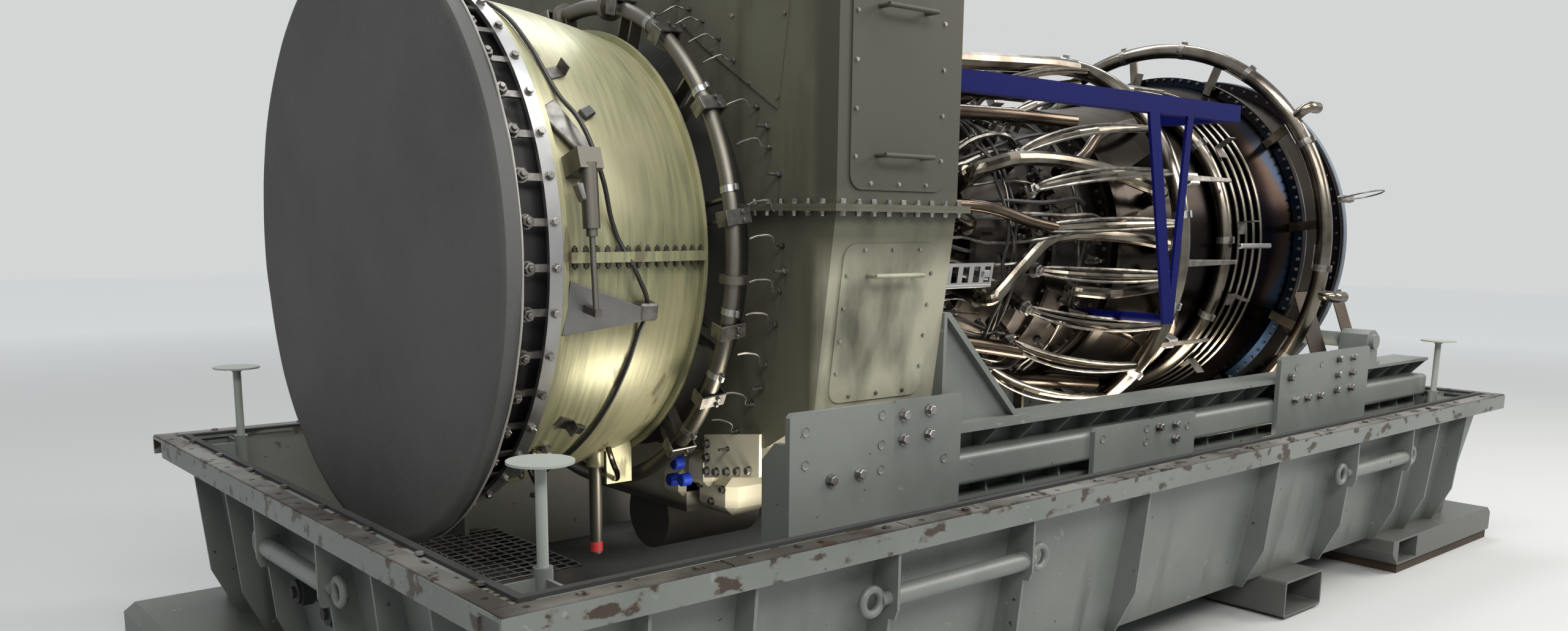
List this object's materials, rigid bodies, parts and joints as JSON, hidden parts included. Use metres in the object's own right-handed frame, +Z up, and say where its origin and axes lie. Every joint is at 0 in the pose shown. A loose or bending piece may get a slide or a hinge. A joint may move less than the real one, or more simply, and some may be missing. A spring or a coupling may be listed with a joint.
{
  "type": "gas turbine on its transport base",
  "caption": "Two-shaft gas turbine with covered inlet, collector box, fuel manifolds and a heat-tinted turbine case, bolted on a steel transport base.",
  "frame": {"origin": "middle of the base at floor level, under the shaft", "axes": "+X along the shaft from the inlet cover to the exhaust, +Z up, +Y to the far side"},
  "size_m": [5.86, 2.72, 2.55],
  "materials": {
    "base_paint": "satin",
    "floor_paint": "satin",
    "bronze_sheet": "satin",
    "timber": "matte",
    "worn_steel": "satin",
    "rubber": "matte",
    "post_paint": "satin",
    "tray_steel": "satin",
    "cover_fabric": "matte",
    "inlet_black": "satin",
    "lever_metal": "satin",
    "ring_aluminium": "satin",
    "case_primer": "satin",
    "pipe_steel": "polished",
    "box_paint": "satin",
    "cast_housing": "satin",
    "core_metal": "satin",
    "heat_tinted": "satin",
    "rear_paint": "satin",
    "bar_blue": "gloss"
  },
  "bodies": {
    "root": {"near_side": "base_paint", "far_side": "base_paint", "front_end": "base_paint", "rear_end": "base_paint", "floor_pan": "floor_paint", "wear_strips": "worn_steel", "rim_seal": "rubber", "end_skids": "base_paint", "skid_timbers": "timber", "fork_pockets": "base_paint", "lashing_tubes": "base_paint", "near_eyes": "base_paint", "far_eyes": "base_paint", "end_eyes": "base_paint", "bumpers": "rubber", "corner_posts": "post_paint", "near_beam": "base_paint", "far_beam": "base_paint", "beam_posts": "base_paint", "frame_plates": "base_paint", "mount_gussets": "base_paint", "rear_mounts": "base_paint", "heat_sheets": "bronze_sheet", "mesh_tray": "tray_steel", "inlet_cover": "cover_fabric", "inlet_case": "inlet_black", "vane_levers": "lever_metal", "unison_ring": "ring_aluminium", "compressor_case": "case_primer", "bleed_manifold": "pipe_steel", "vane_actuators": "pipe_steel", "box_upper": "box_paint", "box_lower": "box_paint", "box_panels": "box_paint", "gearbox": "cast_housing", "core_case": "core_metal", "combustor_case": "core_metal", "fuel_manifold": "pipe_steel", "fuel_tubes": "pipe_steel", "air_pipes": "pipe_steel", "turbine_case": "heat_tinted", "turbine_rings": "pipe_steel", "rear_manifold": "pipe_steel", "rear_cover": "rear_paint", "rigging_bar": "bar_blue"}
  },
  "joints": []
}
